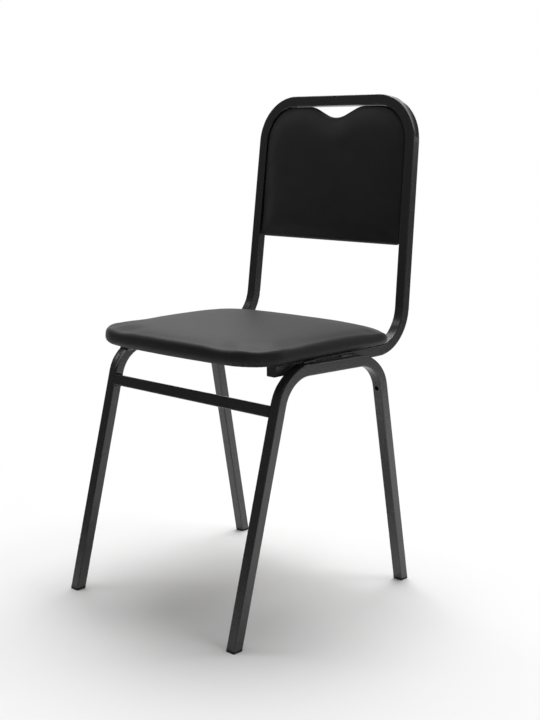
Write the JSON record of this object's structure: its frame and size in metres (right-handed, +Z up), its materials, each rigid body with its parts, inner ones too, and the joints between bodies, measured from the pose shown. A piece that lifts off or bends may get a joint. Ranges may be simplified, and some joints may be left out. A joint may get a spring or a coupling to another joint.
{
  "type": "stacking_chair",
  "caption": "Armless stacking side chair: black square-tube steel frame with a hoop back, and a padded black vinyl seat and back with a hand-hold notch",
  "frame": {"origin": "on the floor, at the bottom centre of the whole chair's box", "axes": "+Z up, +Y towards the chair's back, +X towards the sitter's left"},
  "size_m": [0.425, 0.507, 0.8778],
  "materials": {
    "frame_paint": "satin black",
    "black_plastic": "matte black",
    "black_vinyl": "fine grained, low sheen",
    "foam": "open cell foam",
    "plywood": "raw plywood",
    "zinc_steel": "zinc plated"
  },
  "bodies": {
    "root": {"left_leg_frame": "frame_paint", "right_leg_frame": "frame_paint", "back_frame": "frame_paint", "front_crossbar": "frame_paint", "crossbar_welds": "frame_paint", "rail_welds": "frame_paint", "back_lugs": "frame_paint", "left_front_foot": "black_plastic", "right_front_foot": "black_plastic", "left_rear_foot": "black_plastic", "right_rear_foot": "black_plastic", "left_rail_plug": "black_plastic", "right_rail_plug": "black_plastic", "seat_cover": "black_vinyl", "back_cover": "black_vinyl", "back_rear_cover": "black_vinyl", "seat_foam": "foam", "back_foam": "foam", "seat_board": "plywood", "back_board": "plywood", "seat_staples": "zinc_steel", "seat_tee_nuts": "zinc_steel", "seat_washers": "zinc_steel", "seat_bolts": "zinc_steel", "back_staples": "zinc_steel", "back_tee_nuts": "zinc_steel", "back_screws": "zinc_steel"}
  },
  "joints": []
}
